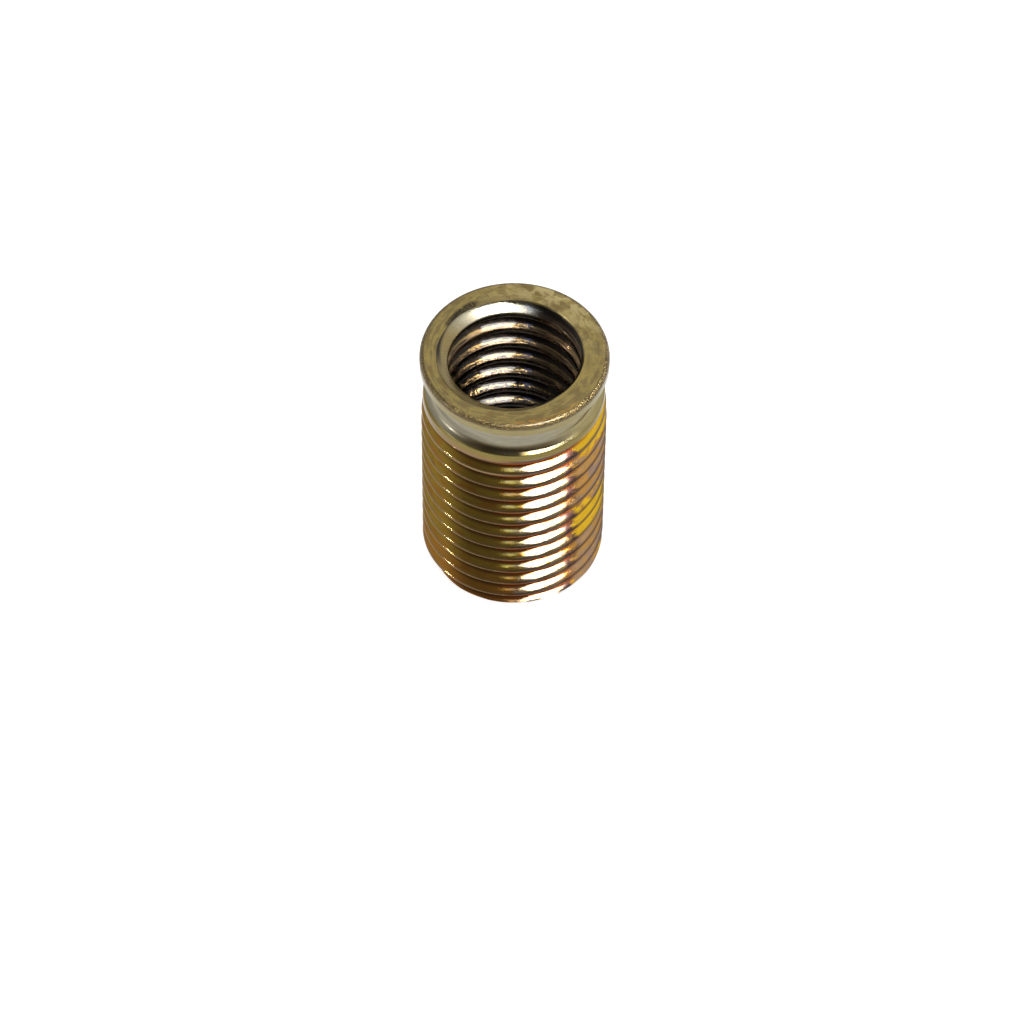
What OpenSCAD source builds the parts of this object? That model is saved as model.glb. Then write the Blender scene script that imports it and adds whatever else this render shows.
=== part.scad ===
// Flanged threaded insert: one turned steel sleeve with a right-hand thread
// outside, a tapped bore, a relief neck and a thin collar. The bore is drawn as
// the cylinder over the crests of its fine thread.
// Millimetres. The origin is the centre of the bottom face, +Z is the axis,
// and the collar is at the top. The front is -Y.

/* [Sleeve] */
// Length over all, from the bottom face to the top of the collar
length = 18.6; // [14:0.1:30]
// Wall between the bore and the roots of the outside thread
wall = 1.14; // [0.8:0.02:2]
// Chamfer at the bottom end of the outside thread
end_chamfer = 0.3; // [0.1:0.05:0.6]
// Chamfer at both mouths of the bore
mouth_chamfer = 0.2; // [0.05:0.01:0.4]

/* [Outside thread] */
// Major diameter of the thread, over its crests
thread_d = 11.88; // [10:0.02:16]
// Rise of the thread in one turn
pitch = 1.25; // [1:0.05:1.5]
// Depth of the thread
thread_depth = 0.6; // [0.3:0.02:0.7]
// Width of the flat on each crest
crest_w = 0.16; // [0.12:0.02:0.3]
// Plain land between the end of the groove and the edge of the neck
land_h = 0.4; // [0.2:0.05:2]
// Part of a turn in which the groove fades out below the land
fade_turns = 0.25; // [0.1:0.05:1]

/* [Neck] */
// How far the neck lies below the roots of the thread
neck_relief = 0.04; // [0.02:0.01:0.3]
// Height of the straight part of the neck
neck_h = 1.1; // [0.6:0.05:3]
// Width of the bevel on the edge between the land and the neck
bevel_w = 0.2; // [0.05:0.01:0.3]
// Height of the same bevel
bevel_h = 0.4; // [0.1:0.05:0.6]

/* [Collar] */
// How far the collar stands out past the crests of the thread
collar_lip = 0.06; // [0:0.02:1.5]
// Height of the straight rim of the collar
rim_h = 0.38; // [0.1:0.01:0.6]
// Height of the hollow round under the collar
fillet_h = 1.2; // [0.9:0.05:1.6]
// Radius of the rounded top edge of the collar
edge_r = 0.3; // [0.1:0.02:0.5]

/* [Fineness] */
// Straight steps in one turn of the thread
turn_steps = 48; // [24:4:48]

/* [Hidden] */
$fn = 96;
// Angle between a flank of the thread and a plane square to the axis
flank = 30;
// Direction of the front, and the height there of the groove's middle
front = -90;
groove_phase = 0.505;
// How far the thread cutter reaches past the crests
overcut = 0.1;
// Straight steps in each rounded part of the outline
round_steps = 6;

crest_r = thread_d / 2;
root_r = crest_r - thread_depth;
bore_r = root_r - wall;
neck_r = root_r - neck_relief;
collar_r = crest_r + collar_lip;
edge_z = length - edge_r;
rim_z = edge_z - rim_h;
fillet_z = rim_z - fillet_h;
shoulder_z = fillet_z - neck_h;

// Half outline of the turned blank, from the bottom of the axis to its top
function blank_outline() = concat(
    [
        [0, 0],
        [crest_r - end_chamfer, 0],
        [crest_r, end_chamfer],
        [crest_r, shoulder_z - bevel_h],
        [crest_r - bevel_w, shoulder_z],
        [neck_r, shoulder_z]
    ],
    fillet_points(),
    edge_points(),
    [[0, length]]
);

// Hollow round under the collar: an arc that leaves the neck upright at
// fillet_z and meets the lower edge of the collar's rim
function fillet_points() =
    let (
        overhang = collar_r - neck_r,
        radius = (overhang * overhang + fillet_h * fillet_h) / (2 * overhang),
        sweep = asin(fillet_h / radius)
    )
    [
        for (i = [0 : round_steps])
            let (a = sweep * i / round_steps)
            [neck_r + radius * (1 - cos(a)), fillet_z + radius * sin(a)]
    ];

// Quarter round from the collar's rim to its top face
function edge_points() = [
    for (i = [0 : round_steps])
        let (a = 90 * i / round_steps)
        [collar_r - edge_r * (1 - cos(a)), edge_z + edge_r * sin(a)]
];

// Section of the groove as [radius, height] corners, from the flat in its root
// out to the overcut
function groove_section() =
    let (
        slope = tan(flank),
        root_h = (pitch - crest_w) / 2 - thread_depth * slope,
        open_h = root_h + (thread_depth + overcut) * slope
    )
    [
        [root_r, root_h],
        [crest_r + overcut, open_h],
        [crest_r + overcut, -open_h],
        [root_r, -root_h]
    ];

// Solid swept by a section along a right-hand helix. It starts at height
// start_z and rises to end_z, and passes the front at height phase. Over its
// last fade_h of height it moves outwards by fade_r, so that its cut fades out.
module helix_sweep(section, phase, start_z, end_z, fade_h, fade_r) {
    corners = len(section);
    steps = ceil(turn_steps * (end_z - start_z) / pitch);
    points = [
        for (i = [0 : steps])
            let (
                z = start_z + (end_z - start_z) * i / steps,
                a = front + 360 * (z - phase) / pitch,
                shift = fade_r * max(0, 1 - (end_z - z) / fade_h)
            )
            for (p = section)
                [(p[0] + shift) * cos(a), (p[0] + shift) * sin(a), z + p[1]]
    ];
    sides = [
        for (i = [0 : steps - 1])
            for (j = [0 : corners - 1])
                let (k = (j + 1) % corners, here = i * corners, next = here + corners)
                each [
                    [here + j, next + j, here + k],
                    [here + k, next + j, next + k]
                ]
    ];
    start_cap = [for (j = [0 : corners - 1]) j];
    end_cap = [for (j = [corners - 1 : -1 : 0]) steps * corners + j];
    polyhedron(points, concat([start_cap], sides, [end_cap]));
}

module blank() {
    rotate_extrude() polygon(blank_outline());
}

// Groove between the crests of the outside thread. It starts below the bottom
// face and fades out under the land.
module thread_groove() {
    helix_sweep(
        groove_section(),
        groove_phase,
        -pitch,
        shoulder_z - land_h,
        fade_turns * pitch,
        thread_depth + overcut
    );
}

// Plain hole over the crests of the inside thread, with a chamfer at each mouth
module bore() {
    wide_r = bore_r + 2 * mouth_chamfer;
    translate([0, 0, -mouth_chamfer]) {
        cylinder(h = length + 2 * mouth_chamfer, r = bore_r);
        cylinder(h = 2 * mouth_chamfer, r1 = wide_r, r2 = bore_r);
    }
    translate([0, 0, length - mouth_chamfer])
        cylinder(h = 2 * mouth_chamfer, r1 = bore_r, r2 = wide_r);
}

module insert() {
    color([0.60, 0.51, 0.28])
    difference() {
        blank();
        bore();
        thread_groove();
    }
}

insert();
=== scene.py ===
"""Threaded insert: a turned steel sleeve in yellow zinc plating, on a pale studio floor.

The sleeve has a right-hand thread outside, another one inside, a relief neck and a
thin collar. It is one closed surface, worked out on grids of angle and height.
"""

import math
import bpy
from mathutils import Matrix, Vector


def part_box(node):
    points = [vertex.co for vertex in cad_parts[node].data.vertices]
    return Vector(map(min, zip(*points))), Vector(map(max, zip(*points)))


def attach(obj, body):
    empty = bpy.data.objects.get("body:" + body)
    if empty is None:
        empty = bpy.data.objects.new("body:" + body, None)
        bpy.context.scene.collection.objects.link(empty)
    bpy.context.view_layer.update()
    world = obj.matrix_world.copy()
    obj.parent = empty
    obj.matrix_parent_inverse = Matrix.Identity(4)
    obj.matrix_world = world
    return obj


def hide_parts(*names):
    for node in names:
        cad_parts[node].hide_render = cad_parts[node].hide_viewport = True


bl_info = {
    "name": "Threaded Insert",
    "version": (1, 0, 0),
    "blender": (4, 5, 0),
    "location": "View3D > Sidebar > Insert",
    "description": "Builds a plated thread insert and the studio that it stands in",
    "category": "Add Mesh",
}

import bmesh
import bpy
import numpy as np
from bpy.props import FloatProperty, FloatVectorProperty, IntProperty, PointerProperty
from bpy.types import Operator, Panel, PropertyGroup
from mathutils import Matrix, Vector

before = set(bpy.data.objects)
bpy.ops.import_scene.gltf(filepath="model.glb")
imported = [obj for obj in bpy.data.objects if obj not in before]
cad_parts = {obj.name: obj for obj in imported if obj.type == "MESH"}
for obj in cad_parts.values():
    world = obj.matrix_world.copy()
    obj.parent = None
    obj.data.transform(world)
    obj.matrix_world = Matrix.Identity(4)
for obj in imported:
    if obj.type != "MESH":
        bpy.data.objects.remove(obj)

NODE = "insert"
MM = 0.001
LOW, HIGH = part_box(NODE)
LENGTH = HIGH[2] - LOW[2]
COLLAR_R = (HIGH[0] - LOW[0]) / 2


def length_property(name, description, millimetres):
    """A length, kept in metres, with its default given in millimetres."""
    return FloatProperty(
        name=name,
        description=description,
        default=millimetres * MM,
        min=0.0,
        precision=5,
        subtype="DISTANCE",
        unit="LENGTH",
    )


class InsertSizes(PropertyGroup):
    """Sizes of the sleeve."""

    length: length_property("Length", "From the bottom face to the top of the collar", LENGTH / MM)
    collar_r: length_property("Collar radius", "Radius of the collar's rim", COLLAR_R / MM)
    crest_r: length_property("Crest radius", "Radius of the outside thread over its crests", 5.94)
    pitch: length_property("Outside pitch", "Rise of the outside thread in one turn", 1.25)
    depth: length_property("Outside depth", "Depth of the outside thread", 0.6)
    crest_w: length_property("Outside crest", "Width of the flat on each outside crest", 0.16)
    phase: length_property("Outside phase", "Height at the front of the outside groove's middle", 0.505)
    end_chamfer: length_property("End chamfer", "Chamfer at the bottom of the outside thread", 0.3)
    taper_w: length_property("Taper", "Fall of the crests' radius towards the neck", 0.18)
    taper_h: length_property("Taper height", "Height over which it falls", 2.0)
    neck_r: length_property("Neck radius", "Radius of the relief neck", 5.3)
    neck_h: length_property("Neck height", "Height from the thread's top to the hollow round", 1.37)
    neck_round: length_property("Neck round", "Radius of the hollow foot of the neck", 0.55)
    top_round: length_property("Top round", "Radius of the rounded edge at the thread's top", 0.12)
    rim_h: length_property("Rim height", "Height of the straight rim of the collar", 0.55)
    fillet_h: length_property("Fillet height", "Height of the hollow round under the collar", 1.03)
    edge_r: length_property("Edge radius", "Radius of the rounded top edge of the collar", 0.3)
    bore_r: length_property("Bore radius", "Radius of the inside thread over its crests", 4.2)
    inner_pitch: length_property("Inside pitch", "Rise of the inside thread in one turn", 1.5)
    inner_depth: length_property("Inside depth", "Depth of the inside thread", 0.8)
    inner_root_w: length_property("Inside root", "Width of the flat in the inside root", 0.19)
    inner_phase: length_property("Inside phase", "Height at the front of the inside groove's middle", 0.85)
    mouth: length_property("Mouth chamfer", "Chamfer at both mouths of the bore", 0.2)
    columns: IntProperty(
        name="Columns",
        description="Faces in one turn",
        default=180,
        min=48,
        max=240,
    )


def smooth_clamp(x, low_k, high_k):
    """x held between 0 and 1, with its corners rounded over widths of low_k and high_k."""
    low = np.maximum(low_k - np.abs(x), 0) / low_k
    x = np.maximum(x, 0) + low * low * low_k / 4
    high = np.maximum(high_k - np.abs(x - 1), 0) / high_k
    return np.minimum(x, 1) - high * high * high_k / 4


def wrap_to_pitch(z, pitch):
    """z brought to within half a pitch of zero."""
    return (z + pitch / 2) % pitch - pitch / 2


FLANK = math.tan(math.radians(30))
FRONT = -math.pi / 2


def outer_thread(size, angle, z):
    """Radius of the outside thread.

    A groove runs along the helix z = phase + pitch * turns from the front. With v the
    height above its middle, the radius is the root's plus the part of |v| beyond the
    root's flat over tan 30, held between root and crest. Over its last quarter turn the
    groove moves outwards until it is gone. The crests taper inwards below the neck.
    """
    middle = size.phase + size.pitch * (angle - FRONT) / (2 * math.pi)
    v = wrap_to_pitch(z - middle, size.pitch)
    root_half = (size.pitch - size.crest_w) / 2 - size.depth * FLANK
    end_z = size.length - size.edge_r - size.rim_h - size.fillet_h - size.neck_h
    fade_h = size.pitch / 4
    shift = (size.depth + 0.1 * MM) * np.maximum(0, 1 - (end_z - (z - v)) / fade_h)
    rise = (np.abs(v) - root_half) / FLANK + shift
    radius = size.crest_r - size.depth * (1 - smooth_clamp(rise / size.depth, 0.2, 0.4))
    cone = size.crest_r - size.taper_w * (1 - (end_z - z) / size.taper_h)
    near = np.maximum(0, 1 - np.abs(cone - radius) / (0.12 * MM))
    return np.minimum(radius, cone) - 0.03 * MM * near * near


def inner_thread(size, angle, z):
    """Radius of the inside thread: the same form of groove, cut outwards from the bore."""
    middle = size.inner_phase + size.inner_pitch * (angle - FRONT) / (2 * math.pi)
    v = wrap_to_pitch(z - middle, size.inner_pitch)
    fall = (np.abs(v) - size.inner_root_w / 2) / FLANK
    return size.bore_r + size.inner_depth * (1 - smooth_clamp(fall / size.inner_depth, 0.2, 0.1))


def helical_rows(low, high, pitch, phase, steps, angle):
    """Heights of rows that climb with a thread, as (rows, columns), and the row shift in a turn.

    Row s lies at s + pitch * turns, held between low and high. The steps are the rows'
    places in one pitch, so that some follow the thread's corners all the way.
    """
    turns = (angle - FRONT) / (2 * math.pi)
    first = math.floor((low - phase) / pitch) - 2
    last = math.ceil((high - phase) / pitch) + 1
    starts = (phase + pitch * np.arange(first, last))[:, None] + np.asarray(steps)[None, :]
    z = starts.reshape(-1, 1) + pitch * turns[None, :]
    return np.clip(z, low, high), len(steps)


def level_rows(heights, angle):
    """Level rows at these heights, as (rows, columns)."""
    return np.repeat(np.asarray(heights)[:, None], len(angle), axis=1)


def mirrored_steps(half, pitch):
    """Row places over one pitch from those over half a groove, from its middle outwards."""
    half = np.asarray(half)
    return np.concatenate([half, pitch - half[-2:0:-1]])


def sleeve_zones(size, angle):
    """The sleeve's surface as a list of (radius grid, height grid, row shift in a turn).

    It goes from the bore's lower mouth across the bottom face, up the outside, over the
    collar, across the top face and down the inside, and closes on itself.
    """
    root_half = (size.pitch - size.crest_w) / 2 - size.depth * FLANK
    open_half = (size.pitch - size.crest_w) / 2
    corner = 0.045 * MM
    half = [0, root_half - corner, root_half, root_half + corner]
    half += [root_half + (open_half - root_half) * share for share in (0.35, 0.5, 0.63)]
    half += [open_half + corner * share for share in (-1.8, -0.9, 0, 0.8)] + [size.pitch / 2]
    outer_steps = mirrored_steps(half, size.pitch)

    inner_root = size.inner_root_w / 2
    inner_open = inner_root + size.inner_depth * FLANK
    half = [0, inner_root - corner * 0.6, inner_root + corner, (inner_root + inner_open) / 2]
    half += [inner_open - corner, inner_open, inner_open + corner, size.inner_pitch / 2]
    inner_steps = mirrored_steps(half, size.inner_pitch)

    edge_z = size.length - size.edge_r
    rim_z = edge_z - size.rim_h
    fillet_z = rim_z - size.fillet_h
    thread_z = fillet_z - size.neck_h
    top = size.length
    zones = []

    def add(radius, z, shift=0):
        zones.append((np.broadcast_to(radius, z.shape), z, shift))

    def outline(points):
        r, z = np.array(points).T
        add(level_rows(r, angle), level_rows(z, angle))

    # Bottom face, from the mouth of the bore to the chamfer's foot
    z = level_rows([0, 0, 0, 0], angle)
    mouth_r = np.maximum(inner_thread(size, angle, 0 * angle), size.bore_r + size.mouth)
    foot_r = np.minimum(outer_thread(size, angle, 0 * angle), size.crest_r - size.end_chamfer)
    share = np.array([0, 0.08, 0.92, 1])[:, None]
    add(mouth_r + (foot_r - mouth_r) * share, z)

    # Chamfer at the bottom, the thread, and the rounded edge at its top
    z = level_rows(np.linspace(0, size.end_chamfer, 7), angle)
    add(np.minimum(outer_thread(size, angle, z), size.crest_r - size.end_chamfer + z), z)
    z, shift = helical_rows(size.end_chamfer, thread_z, size.pitch, size.phase, outer_steps, angle)
    add(outer_thread(size, angle, z), z, shift)
    top_r = size.crest_r - size.taper_w
    start = math.atan(size.taper_w / size.taper_h)
    lean = math.radians(58)
    a = np.linspace(start, lean, 8)
    z = level_rows(thread_z + size.top_round * (np.sin(a) - math.sin(start)), angle)
    edge_r = level_rows(top_r - size.top_round * (math.cos(start) - np.cos(a)), angle)
    add(np.minimum(outer_thread(size, angle, z), edge_r), z)

    # Bevel, hollow foot of the neck, hollow round, rim and rounded edge
    a = np.linspace(lean, 0, 14)
    bevel_w = top_r - size.top_round * (math.cos(start) - math.cos(lean))
    bevel_w -= size.neck_r + size.neck_round * (1 - math.cos(lean))
    foot_z = thread_z + size.top_round * (math.sin(lean) - math.sin(start))
    foot_z += bevel_w / math.tan(lean) + size.neck_round * math.sin(lean)
    add(
        level_rows(size.neck_r + size.neck_round * (1 - np.cos(a)), angle),
        level_rows(foot_z - size.neck_round * np.sin(a), angle),
    )
    overhang = size.collar_r - size.neck_r
    fillet_r = (overhang**2 + size.fillet_h**2) / (2 * overhang)
    a = np.linspace(0, math.asin(size.fillet_h / fillet_r), 12)
    add(
        level_rows(size.neck_r + fillet_r * (1 - np.cos(a)), angle),
        level_rows(fillet_z + fillet_r * np.sin(a), angle),
    )
    outline([(size.collar_r, rim_z + 0.03 * MM), (size.collar_r, (rim_z + edge_z) / 2)])
    a = np.linspace(0, math.pi / 2, 10)
    add(
        level_rows(size.collar_r - size.edge_r * (1 - np.cos(a)), angle),
        level_rows(edge_z + size.edge_r * np.sin(a), angle),
    )

    # Top face, in two parts that meet at a ring near the mouth
    line_r = 4.8 * MM
    ring_r = size.collar_r - size.edge_r
    mouth_r = np.maximum(inner_thread(size, angle, top + 0 * angle), size.bore_r + size.mouth)
    near = np.maximum(mouth_r + 0.01 * MM, line_r)
    share = np.array([0.06, 0.3, 0.6, 0.9, 0.97, 1])[:, None]
    add(ring_r + (near - ring_r) * share, level_rows([top] * 6, angle))
    share = np.array([0.15, 0.3, 0.7, 1])[:, None]
    add(near + (mouth_r - near) * share, level_rows([top] * 4, angle))

    # Upper mouth, inside thread and lower mouth
    z = level_rows(np.linspace(top, top - size.mouth, 6), angle)
    add(np.maximum(inner_thread(size, angle, z), size.bore_r + size.mouth - (top - z)), z)
    z, shift = helical_rows(
        size.mouth, top - size.mouth, size.inner_pitch, size.inner_phase, inner_steps, angle
    )
    add(inner_thread(size, angle, z[::-1]), z[::-1], -shift)
    z = level_rows(np.linspace(size.mouth, 0, 6), angle)
    add(np.maximum(inner_thread(size, angle, z), size.bore_r + size.mouth - z), z)
    return zones


def mesh_from_zones(name, zones, angle):
    """One mesh from zones of rows, joined row to row, and the last zone to the first.

    Column i + 1 follows column i. After the last column comes the first one a full turn
    on, where a row of a helical zone meets the row that lies its shift further along.
    """
    radius = np.concatenate([zone[0] for zone in zones])
    z = np.concatenate([zone[1] for zone in zones])
    rows, columns = z.shape
    points = np.stack([radius * np.cos(angle), radius * np.sin(angle), z], axis=-1)

    partner = []
    start = 0
    for zone in zones:
        count = len(zone[1])
        partner.append(start + np.clip(np.arange(count) + zone[2], 0, count - 1))
        start += count
    partner = np.concatenate(partner)

    index = np.arange(rows * columns).reshape(rows, columns)
    following = np.roll(index, -1, axis=1)
    following[:, -1] = index[partner, 0]
    above = np.roll(index, -1, axis=0)
    above_following = np.roll(following, -1, axis=0)
    quads = np.stack([index, following, above_following, above], axis=-1).reshape(-1, 4)

    mesh = bpy.data.meshes.new(name)
    mesh.from_pydata(points.reshape(-1, 3).tolist(), [], quads.tolist())
    work = bmesh.new()
    work.from_mesh(mesh)
    bmesh.ops.remove_doubles(work, verts=work.verts, dist=1e-7)
    bmesh.ops.dissolve_degenerate(work, edges=work.edges, dist=1e-7)
    bmesh.ops.recalc_face_normals(work, faces=work.faces)
    work.to_mesh(mesh)
    work.free()
    mesh.validate()
    mesh.shade_smooth()
    mesh.set_sharp_from_angle(angle=math.radians(40))
    return mesh


class Shading:
    """Adds nodes to a node tree, where each input is a number, a colour or a socket."""

    def __init__(self, tree):
        self.tree = tree

    def put(self, socket, value):
        """Link or set one input."""
        if isinstance(value, bpy.types.NodeSocket):
            self.tree.links.new(value, socket)
        else:
            socket.default_value = value

    def math(self, operation, *values, clamp=False):
        """A Math node's result."""
        node = self.tree.nodes.new("ShaderNodeMath")
        node.operation = operation
        node.use_clamp = clamp
        for socket, value in zip(node.inputs, values):
            self.put(socket, value)
        return node.outputs[0]

    def step(self, value, start, end, low=0.0, high=1.0):
        """A smooth step from low at start to high at end."""
        node = self.tree.nodes.new("ShaderNodeMapRange")
        node.interpolation_type = "SMOOTHSTEP"
        for name, number in zip(
            ("Value", "From Min", "From Max", "To Min", "To Max"), (value, start, end, low, high)
        ):
            self.put(node.inputs[name], number)
        return node.outputs[0]

    def between(self, value, start, end, edge):
        """1 between start and end, and 0 outside, with smooth edges this wide."""
        rise = self.step(value, start - edge, start + edge)
        fall = self.step(value, end - edge, end + edge, 1.0, 0.0)
        return self.math("MULTIPLY", rise, fall)

    def vector(self, x, y, z):
        """A vector from three numbers."""
        node = self.tree.nodes.new("ShaderNodeCombineXYZ")
        for socket, value in zip(node.inputs, (x, y, z)):
            self.put(socket, value)
        return node.outputs[0]

    def noise(self, vector, scale, detail=2.0, roughness=0.5, distortion=0.0):
        """Noise from 0 to 1."""
        node = self.tree.nodes.new("ShaderNodeTexNoise")
        for name, value in (
            ("Vector", vector),
            ("Scale", scale),
            ("Detail", detail),
            ("Roughness", roughness),
            ("Distortion", distortion),
        ):
            self.put(node.inputs[name], value)
        return node.outputs["Fac"]

    def mix(self, factor, first, second, blend="MIX"):
        """Two colours mixed."""
        node = self.tree.nodes.new("ShaderNodeMix")
        node.data_type = "RGBA"
        node.blend_type = blend
        self.put(node.inputs["Factor"], factor)
        self.put(node.inputs[6], first)
        self.put(node.inputs[7], second)
        return node.outputs[2]

    def ramp(self, factor, stops):
        """A colour ramp through (place, colour) stops."""
        node = self.tree.nodes.new("ShaderNodeValToRGB")
        marks = node.color_ramp.elements
        while len(marks) < len(stops):
            marks.new(0.5)
        for mark, (place, colour) in zip(marks, stops):
            mark.position = place
            mark.color = colour
        self.put(node.inputs["Fac"], factor)
        return node.outputs["Color"]


def colour_property(name, description, red, green, blue):
    """A colour of the plating."""
    return FloatVectorProperty(
        name=name,
        description=description,
        default=(red, green, blue, 1.0),
        size=4,
        min=0.0,
        max=1.0,
        subtype="COLOR",
    )


class PlatingColours(PropertyGroup):
    """Colours of the zinc plating, and of the light and shade painted on it."""

    olive: colour_property("Olive", "Thread, most of it", 0.34, 0.225, 0.024)
    bronze: colour_property("Bronze", "Thread, its browner patches", 0.36, 0.165, 0.014)
    amber: colour_property("Amber", "Thread near its lower end", 0.42, 0.165, 0.018)
    # Partly painted light: the lit right of the thread
    yellow: colour_property("Yellow", "Thread, its brightest side", 0.70, 0.42, 0.012)
    orange: colour_property("Orange", "Thread, patches on the bright side", 0.50, 0.25, 0.04)
    mauve: colour_property("Mauve", "Thread, thick film on the bright side", 0.34, 0.225, 0.15)
    # Painted highlight: whitens the flanks where the key lamp's reflection lies
    silver_highlight: colour_property("Silver", "Thread, where the film is thin", 0.42, 0.36, 0.25)
    # Painted shade: the near-black band where the key lamp's reflection ends
    violet: colour_property("Violet", "Thread, thickest film", 0.05, 0.022, 0.016)
    tan: colour_property("Tan", "Crests of the thread", 0.27, 0.18, 0.09)
    # Painted shade on the crests of the lit side; also the dark specks on the collar's edge
    brown: colour_property("Brown", "Crests on the bright side", 0.05, 0.027, 0.024)
    # Painted shade in the roots of the outside thread
    red: colour_property("Red", "Roots of the thread, on the bright side", 0.26, 0.055, 0.003)
    russet: colour_property("Russet", "Roots of the thread", 0.12, 0.045, 0.008)
    khaki: colour_property("Khaki", "Collar", 0.27, 0.205, 0.08)
    rust: colour_property("Rust", "Browner patches of the collar", 0.26, 0.175, 0.055)
    lemon: colour_property("Lemon", "Yellower rings of the collar", 0.40, 0.30, 0.09)
    # Painted highlight: glints on the back of the collar
    straw_glint: colour_property("Straw", "Pale specks at the collar's back", 0.55, 0.44, 0.19)
    grey: colour_property("Grey", "Neck, where the film is thin", 0.33, 0.30, 0.21)
    moss: colour_property("Moss", "Neck's right side and the collar's underside", 0.34, 0.28, 0.12)
    # Painted shade at the foot of the neck
    umber_shade: colour_property("Umber", "Foot of the neck", 0.11, 0.08, 0.035)
    land: colour_property("Land", "Top of the thread, beside the neck", 0.25, 0.19, 0.05)
    inner: colour_property("Inner", "Inside thread", 0.24, 0.155, 0.075)
    # Painted shade inside the bore; also the dark burr specks on the collar
    bore_shade_and_burr: colour_property("Soot", "Inside thread, its dark streaks", 0.022, 0.016, 0.012)


def plated_steel(colours):
    """Yellow zinc plating on turned steel.

    The film's colour goes from olive and bronze on the thread's left to yellow, orange and
    mauve on its right, by the place round the axis and by noise; the right is partly painted
    light, yellower and brighter where the lamps fall. The thread also carries a painted
    highlight that whitens the key lamp's reflection, a near-black violet band of painted
    shade where it ends, and painted shade in the roots and on the lit side's crests. The
    collar is khaki with painted glints, a painted highlight at the mouth and a painted
    orange fringe beside the rim's glint, the neck grey with painted shade at its foot, and
    the inside nearly bare with painted shade in its grooves, deeper down and at the mouth.
    The turning marks are
    noise that is stretched round the axis, over the radius on faces that look up and
    over the height on upright ones.
    """
    material = bpy.data.materials.new("yellow zinc plating")
    material.use_nodes = True
    tree = material.node_tree
    add = Shading(tree)
    shader = tree.nodes["Principled BSDF"]
    shader.inputs["Metallic"].default_value = 1.0
    shader.inputs["Coat Weight"].default_value = 0.35
    shader.inputs["Coat Roughness"].default_value = 0.08
    shader.inputs["Coat IOR"].default_value = 1.5

    place = tree.nodes.new("ShaderNodeTexCoord").outputs["Object"]
    scaled = tree.nodes.new("ShaderNodeVectorMath")
    scaled.operation = "SCALE"
    scaled.inputs["Scale"].default_value = 1 / MM
    tree.links.new(place, scaled.inputs[0])
    place = scaled.outputs[0]
    split = tree.nodes.new("ShaderNodeSeparateXYZ")
    tree.links.new(place, split.inputs[0])
    x, y, z = split.outputs
    radius = add.math("SQRT", add.math("ADD", add.math("MULTIPLY", x, x), add.math("MULTIPLY", y, y)))
    normal = tree.nodes.new("ShaderNodeSeparateXYZ")
    tree.links.new(tree.nodes.new("ShaderNodeNewGeometry").outputs["Normal"], normal.inputs[0])
    upright = add.math("ABSOLUTE", normal.outputs["Z"])
    side = add.math("DIVIDE", x, radius)

    # Where each part of the surface lies
    top = add.step(z, 18.22, 18.3)
    neck = add.between(z, 15.45, 18.26, 0.05)
    inside = add.math("MULTIPLY", add.step(radius, 5.1, 5.2, 1.0, 0.0), add.step(z, 18.5, 18.58, 1.0, 0.0))
    taper = add.math("MULTIPLY", add.math("MAXIMUM", add.math("SUBTRACT", z, 13.35), 0.0), 0.09)
    crest = add.step(add.math("ADD", radius, taper), 5.78, 5.92)
    crest = add.math("MULTIPLY", crest, add.step(z, 14.90, 15.05, 1.0, 0.0))
    # Roots of the outside thread, where painted shade goes
    root = add.math("MULTIPLY", add.step(radius, 5.36, 5.60, 1.0, 0.0), add.step(z, 14.90, 15.05, 1.0, 0.0))

    # Film on the thread, with painted light and shade: along is stretched round the axis
    along = tree.nodes.new("ShaderNodeVectorMath")
    along.operation = "MULTIPLY"
    along.inputs[1].default_value = (0.35, 0.35, 1.6)
    tree.links.new(place, along.inputs[0])
    along = along.outputs[0]
    patches = add.noise(along, 0.7, 4.0, 0.6, 0.6)
    fine = add.noise(along, 3.0, 4.0, 0.65, 0.5)
    grain = add.noise(place, 14.0, 3.0, 0.6)
    cloud = add.noise(place, 0.5, 3.0, 0.5, 0.3)
    film = add.math("ADD", add.math("MULTIPLY", patches, 0.6), add.math("MULTIPLY", fine, 0.4))
    calm = add.ramp(film, [(0.41, colours.bronze), (0.50, colours.olive), (0.59, colours.bronze)])
    low_end = add.step(add.math("ADD", z, add.math("MULTIPLY", cloud, -4.0)), 2.5, -2.0)
    calm = add.mix(low_end, calm, colours.amber)
    wave = add.math("COSINE", add.math("MULTIPLY", add.math("SUBTRACT", z, 14.6), 2 * math.pi / 8.4))
    thick = add.math("ADD", add.math("MULTIPLY", wave, 0.17), film)
    bright = add.ramp(
        thick,
        [
            (0.26, colours.mauve),
            (0.38, colours.orange),
            (0.46, colours.mauve),
            (0.52, colours.orange),
            (0.58, colours.yellow),
            (0.74, colours.yellow),
            (0.80, colours.orange),
        ],
    )
    # The right of the thread is yellower and brighter: partly the film's own colours, partly painted light on the lit
    # side
    wander = add.math("ADD", side, add.math("MULTIPLY", add.math("SUBTRACT", fine, 0.5), 0.3))
    wander = add.math("ADD", wander, add.math("MULTIPLY", add.math("SUBTRACT", cloud, 0.5), 0.3))
    colour = add.mix(add.step(wander, 0.60, 0.76), calm, bright)
    # Painted shade: a near-black violet band just past the end of the key lamp's reflection
    dark = add.math("MULTIPLY", add.between(wander, 0.56, 0.70, 0.04), add.step(film, 0.40, 0.48))
    colour = add.mix(dark, colour, colours.violet)
    # Painted highlight: whitens the flanks across the key lamp's reflection
    thin = add.math("MULTIPLY", add.between(wander, 0.08, 0.56, 0.08), add.step(fine, 0.30, 0.55))
    colour = add.mix(add.math("MULTIPLY", thin, 0.75), colour, colours.silver_highlight)
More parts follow.
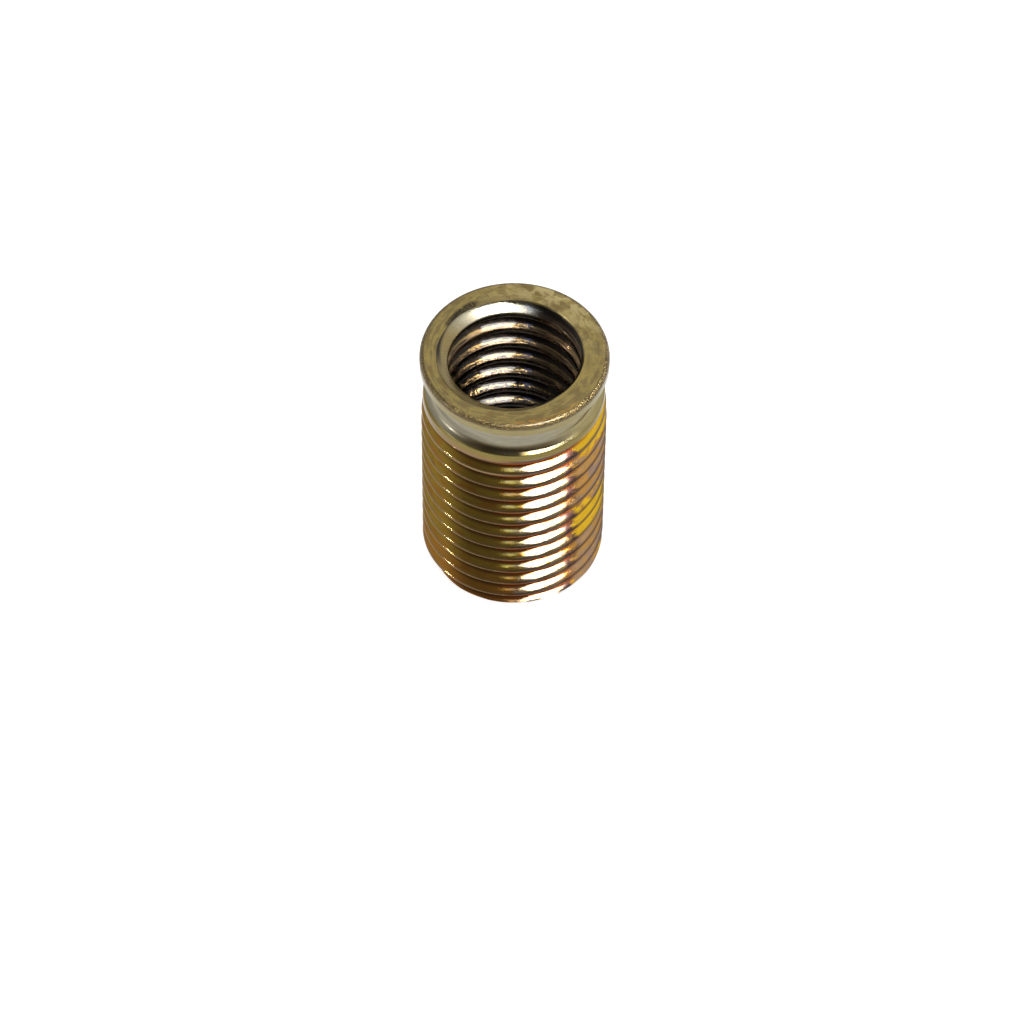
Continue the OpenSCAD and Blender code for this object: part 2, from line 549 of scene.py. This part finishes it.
    # Crests: tan on the left, and painted shade in near-black brown on the lit right
    crest_colour = add.mix(add.step(wander, -0.20, 0.15), colours.tan, colours.brown)
    # Painted shade in the roots, strongest at the front: russet on the left, red on the lit right
    front = add.step(y, -1.0, -3.5, 0.35, 1.0)
    root_shade_colour = add.mix(add.step(side, -0.30, 0.05), colours.russet, colours.red)
    colour = add.mix(add.math("MULTIPLY", root, front), colour, root_shade_colour)
    colour = add.mix(add.math("MULTIPLY", crest, 0.85), colour, crest_colour)
    colour = add.mix(add.between(z, 15.02, 15.60, 0.06), colour, colours.land)

    flat = add.math("MULTIPLY", upright, upright)
    travel = add.math(
        "ADD", add.math("MULTIPLY", radius, flat), add.math("MULTIPLY", z, add.math("SUBTRACT", 1.0, flat))
    )

    # Collar, neck and inside
    turned = add.vector(
        add.math("MULTIPLY", travel, 1.8), add.math("MULTIPLY", x, 0.4), add.math("MULTIPLY", y, 0.4)
    )
    rings = add.noise(turned, 1.0, 4.0, 0.55, 0.5)
    spots = add.noise(place, 1.1, 4.0, 0.6, 0.4)
    mottle = add.math("ADD", add.math("MULTIPLY", rings, 0.70), add.math("MULTIPLY", spots, 0.30))
    collar = add.ramp(
        mottle,
        [(0.38, colours.rust), (0.45, colours.khaki), (0.51, colours.lemon), (0.56, colours.khaki),
         (0.63, colours.rust)],
    )
    back = add.step(add.math("ADD", y, add.math("MULTIPLY", x, 0.6)), 2.0, 7.5)
    collar = add.mix(add.math("MULTIPLY", back, 0.20), collar, colours.rust)
    # Painted glints: pale specks on the back of the collar
    glint = add.math("MULTIPLY", back, add.math("MULTIPLY", add.step(fine, 0.44, 0.58), add.step(x, -3.5, -1.0)))
    collar = add.mix(glint, collar, colours.straw_glint)
    burr = add.math("MULTIPLY", add.between(x, -4.4, -2.4, 0.25), add.between(y, 2.0, 4.4, 0.3))
    burr = add.math("MULTIPLY", burr, add.math("MULTIPLY", add.step(radius, 5.10, 4.98), add.step(grain, 0.36, 0.50)))
    collar = add.mix(burr, collar, colours.bore_shade_and_burr)
    # Painted highlight: a lemon ring along the mouth's edge on the front half
    lip_highlight = add.math("MULTIPLY", add.between(radius, 4.38, 4.62, 0.07), add.step(y, 1.5, -1.5))
    collar = add.mix(add.math("MULTIPLY", lip_highlight, 0.7), collar, colours.lemon)
    edge = add.math("MULTIPLY", add.step(radius, 5.66, 5.78), add.step(grain, 0.36, 0.56))
    collar = add.mix(add.math("MULTIPLY", edge, 0.8), collar, colours.brown)
    # Painted reflection: an orange fringe beside the lamp's glint on the collar's front right
    glint_fringe = add.math("MULTIPLY", add.between(radius, 5.52, 5.70, 0.06), add.between(x, 0.0, 4.0, 1.0))
    glint_fringe = add.math("MULTIPLY", glint_fringe, add.step(y, -3.0, -4.5))
    collar = add.mix(add.math("MULTIPLY", glint_fringe, add.step(fine, 0.35, 0.6)), collar, colours.orange)
    bare = add.mix(add.step(side, 0.30, 0.80), colours.grey, colours.moss)
    # Painted shade: dark brown at the foot of the neck
    foot = add.math("MULTIPLY", add.step(z, 16.0, 15.75), add.between(side, -0.62, 0.55, 0.2))
    bare = add.mix(foot, bare, colours.umber_shade)
    bare = add.mix(add.step(z, 17.1, 17.6), bare, colours.moss)
    colour = add.mix(neck, colour, bare)
    colour = add.mix(top, colour, collar)
    lines = add.noise(add.vector(add.math("MULTIPLY", travel, 6.0), x, y), 1.0, 4.0, 0.7)
    # Inside: painted shade in streaks, more of it deeper down the bore
    depth = add.step(z, 17.0, 4.0)
    deep_shade = add.math("ADD", lines, add.math("MULTIPLY", depth, 0.16))
    within = add.mix(add.step(deep_shade, 0.43, 0.59), colours.inner, colours.bore_shade_and_burr)
    # Painted shade in the inside thread's grooves, with a rust line at its edge
    hollow = add.math("ADD", radius, add.math("MULTIPLY", add.math("SUBTRACT", lines, 0.5), 0.3))
    within = add.mix(add.step(hollow, 4.36, 4.46), within, colours.rust)
    within = add.mix(add.step(hollow, 4.42, 4.52), within, colours.bore_shade_and_burr)
    # First inside flank: khaki at the front, grey at the back, and painted shadow on its right
    first = add.mix(add.step(y, 1.6, 3.6), colours.khaki, colours.grey)
    first = add.mix(add.step(add.math("ADD", x, add.math("MULTIPLY", lines, 1.5)), 1.4, 2.6), first, colours.bore_shade_and_burr)
    within = add.mix(add.step(z, 16.9, 17.7), within, first)
    # Painted shadow along the back of the upper mouth
    within = add.mix(add.math("MULTIPLY", add.step(z, 18.12, 18.26), add.step(y, -1.5, 0.5)), within, colours.bore_shade_and_burr)
    colour = add.mix(inside, colour, within)

    # Turning marks
    marks = add.noise(
        add.vector(add.math("MULTIPLY", travel, 16.0), add.math("MULTIPLY", x, 0.3), add.math("MULTIPLY", y, 0.3)),
        1.0,
        3.0,
        0.65,
    )
    shade = add.math("ADD", 0.40, add.math("MULTIPLY", marks, 0.60))
    shade = add.math("ADD", shade, add.math("MULTIPLY", fine, 0.60))
    colour = add.mix(1.0, colour, add.vector(shade, shade, shade), "MULTIPLY")
    add.put(shader.inputs["Base Color"], colour)

    rough = add.math("ADD", 0.06, add.math("MULTIPLY", grain, 0.08))
    rough = add.math("ADD", rough, add.math("MULTIPLY", top, 0.10))
    dull = add.math("MULTIPLY", add.between(z, 15.3, 16.4, 0.1), add.step(side, -0.25, -0.45))
    dull = add.math("ADD", dull, add.math("MULTIPLY", inside, add.step(z, 16.8, 17.4, 0.0, 0.7)))
    rough = add.math("ADD", rough, add.math("MULTIPLY", dull, 0.25))
    rough = add.math("ADD", rough, add.math("MULTIPLY", add.math("MULTIPLY", dark, fine), 0.3))
    add.put(shader.inputs["Roughness"], rough)

    height = add.math("ADD", add.math("MULTIPLY", marks, 0.7), add.math("MULTIPLY", grain, 0.5))
    worn = add.math("MULTIPLY", add.math("MULTIPLY", edge, top), 3.0)
    worn = add.math("ADD", add.math("MULTIPLY", crest, 2.0), worn)
    ragged = add.math("MULTIPLY", add.noise(place, 4.0, 3.0, 0.7), worn)
    height = add.math("ADD", height, ragged)
    deep = add.math("MULTIPLY", inside, add.step(z, 17.5, 16.7, 0.0, 12.0))
    height = add.math("ADD", height, add.math("MULTIPLY", lines, deep))
    bump = tree.nodes.new("ShaderNodeBump")
    bump.inputs["Strength"].default_value = 0.5
    bump.inputs["Distance"].default_value = 0.012 * MM
    add.put(bump.inputs["Height"], height)
    add.put(shader.inputs["Normal"], bump.outputs["Normal"])
    return material


class OBJECT_OT_insert_sleeve(Operator):
    """Build the sleeve with both of its threads"""

    bl_idname = "object.insert_sleeve"
    bl_label = "Sleeve"

    def execute(self, context):
        size = context.scene.insert_sizes
        angle = FRONT + 2 * math.pi * np.arange(size.columns) / size.columns
        mesh = mesh_from_zones("sleeve", sleeve_zones(size, angle), angle)
        sleeve = bpy.data.objects.new("sleeve", mesh)
        context.scene.collection.objects.link(sleeve)
        mesh.materials.append(plated_steel(context.scene.insert_plating))
        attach(sleeve, "root")
        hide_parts(NODE)
        return {"FINISHED"}


def area_lamp(scene, name, direction, reach, middle, width, height, radiance, colour=(1, 1, 1)):
    """A rectangular lamp that faces middle from this direction, and shines at this radiance.

    Its power is the radiance times pi times its area. Only mirror-like surfaces take its
    light, so that the floor stays even.
    """
    data = bpy.data.lights.new(name, "AREA")
    data.shape = "RECTANGLE"
    data.size = width
    data.size_y = height
    data.energy = radiance * math.pi * width * height
    data.color = colour
    lamp = bpy.data.objects.new(name, data)
    scene.collection.objects.link(lamp)
    away = Vector(direction).normalized()
    lamp.location = Vector(middle) + away * reach
    lamp.rotation_euler = away.to_track_quat("Z", "Y").to_euler()
    lamp.visible_diffuse = False
    return lamp


def photo_camera(scene):
    """The camera, from the sleeve's place in the picture.

    The middle of the bottom face is seen at pixel (512.56, 534.00) of 1024 at a distance
    of 50 crest radii, from 52.4 degrees above the horizon and rolled by 0.65 degrees.
    """
    crest_r = 5.94 * MM
    distance = 50 * crest_r
    elevation = math.radians(52.3964)
    roll = math.radians(0.6511)
    focal = 50 * 89.9127
    sight = np.array([512.557 - 512, 534.003 - 512, focal])
    sight /= np.linalg.norm(sight)
    across = np.array([1.0, 0, 0]) - sight[0] * sight
    across /= np.linalg.norm(across)
    down = np.cross(sight, across)
    turned_across = math.cos(roll) * across + math.sin(roll) * down
    turned_down = -math.sin(roll) * across + math.cos(roll) * down
    columns = [
        turned_across,
        -turned_down * math.sin(elevation) + sight * math.cos(elevation),
        -turned_down * math.cos(elevation) - sight * math.sin(elevation),
    ]
    to_camera = np.array(columns).T
    place = -to_camera.T @ sight * distance
    axes = to_camera.T @ np.diag([1, -1, -1])
    data = bpy.data.cameras.new("camera")
    data.sensor_width = 36
    data.lens = focal / 1024 * 36
    data.clip_start = 0.01
    data.clip_end = 10
    camera = bpy.data.objects.new("camera", data)
    scene.collection.objects.link(camera)
    camera.matrix_world = Matrix.Translation(place.tolist()) @ Matrix(axes.tolist()).to_4x4()
    scene.camera = camera
    return camera


def floor_material():
    """White floor: lit as a pale one, and lifted to white for the camera and in reflections."""
    material = bpy.data.materials.new("studio floor")
    material.use_nodes = True
    tree = material.node_tree
    add = Shading(tree)
    shader = tree.nodes["Principled BSDF"]
    shader.inputs["Base Color"].default_value = (0.8, 0.8, 0.8, 1)
    shader.inputs["Roughness"].default_value = 1.0
    shader.inputs["Specular IOR Level"].default_value = 0.0
    shader.inputs["Emission Color"].default_value = (1, 1, 1, 1)
    path = tree.nodes.new("ShaderNodeLightPath").outputs
    seen = add.math("MAXIMUM", path["Is Camera Ray"], path["Is Transmission Ray"])
    lift = add.math("ADD", add.math("MULTIPLY", seen, 0.6), add.math("MULTIPLY", path["Is Glossy Ray"], 0.2))
    add.put(shader.inputs["Emission Strength"], lift)
    return material


def studio_world():
    """White walls all round, dimmer on the left, with a dark opening over the front.

    The opening is where the direction lies near (-0.15, -0.55, 0.82). Only reflections
    see it and the dimmer side. The camera sees white, and the floor is lit evenly.
    """
    world = bpy.data.worlds.new("studio")
    world.use_nodes = True
    tree = world.node_tree
    add = Shading(tree)
    direction = tree.nodes.new("ShaderNodeTexCoord").outputs["Generated"]
    along = tree.nodes.new("ShaderNodeVectorMath")
    along.operation = "DOT_PRODUCT"
    along.inputs[1].default_value = (-0.15, -0.55, 0.82)
    tree.links.new(direction, along.inputs[0])
    split = tree.nodes.new("ShaderNodeSeparateXYZ")
    tree.links.new(direction, split.inputs[0])
    walls = add.step(split.outputs["X"], -0.6, 0.6, 0.58, 0.94)
    level = add.math("MULTIPLY", walls, add.step(along.outputs["Value"], 0.55, 0.90, 1.0, 0.30))
    path = tree.nodes.new("ShaderNodeLightPath").outputs
    glossy = path["Is Glossy Ray"]
    strength = add.math("ADD", add.math("MULTIPLY", level, glossy), add.math("SUBTRACT", 1.0, glossy))
    background = tree.nodes["Background"]
    background.inputs["Color"].default_value = (1, 1, 1, 1)
    add.put(background.inputs["Strength"], strength)
    return world


class SCENE_OT_insert_stage(Operator):
    """Build the floor, the lamps, the world and the camera"""

    bl_idname = "scene.insert_stage"
    bl_label = "Stage"

    def execute(self, context):
        scene = context.scene
        scene.view_settings.view_transform = "Standard"
        half = 3.0
        level = -0.02 * MM
        corners = [(-half, -half, level), (half, -half, level), (half, half, level), (-half, half, level)]
        mesh = bpy.data.meshes.new("floor")
        mesh.from_pydata(corners, [], [(0, 1, 2, 3)])
        mesh.materials.append(floor_material())
        floor = bpy.data.objects.new("floor", mesh)
        scene.collection.objects.link(floor)

        scene.world = studio_world()
        reach = 0.3
        middle = (0, 0, 0.01)
        area_lamp(scene, "key lamp", (0.32, -0.285, 0.89), reach, middle, 0.14, 0.092, 34.0)
        cool = (0.38, 0.52, 1.0)
        area_lamp(scene, "second lamp", (-0.09, -0.36, 0.92), reach, middle, 0.035, 0.035, 6.0, cool)
        area_lamp(scene, "side lamp", (-0.90, -0.23, 0.37), reach, middle, 0.012, 0.012, 220.0)
        photo_camera(scene)
        return {"FINISHED"}


class VIEW3D_PT_insert(Panel):
    """Sizes and steps of the thread insert"""

    bl_label = "Threaded Insert"
    bl_idname = "VIEW3D_PT_insert"
    bl_space_type = "VIEW_3D"
    bl_region_type = "UI"
    bl_category = "Insert"

    def draw(self, context):
        column = self.layout.column()
        for group in (context.scene.insert_sizes, context.scene.insert_plating):
            for name in group.bl_rna.properties.keys():
                if name not in {"rna_type", "name"}:
                    column.prop(group, name)
        column.operator("object.insert_sleeve")
        column.operator("scene.insert_stage")


CLASSES = (InsertSizes, PlatingColours, OBJECT_OT_insert_sleeve, SCENE_OT_insert_stage, VIEW3D_PT_insert)


def register():
    for item in CLASSES:
        bpy.utils.register_class(item)
    bpy.types.Scene.insert_sizes = PointerProperty(type=InsertSizes)
    bpy.types.Scene.insert_plating = PointerProperty(type=PlatingColours)


def unregister():
    del bpy.types.Scene.insert_plating
    del bpy.types.Scene.insert_sizes
    for item in reversed(CLASSES):
        bpy.utils.unregister_class(item)


def main():
    """Build everything."""
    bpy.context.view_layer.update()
    register()
    bpy.ops.object.insert_sleeve()
    bpy.ops.scene.insert_stage()


if __name__ == "__main__":
    main()
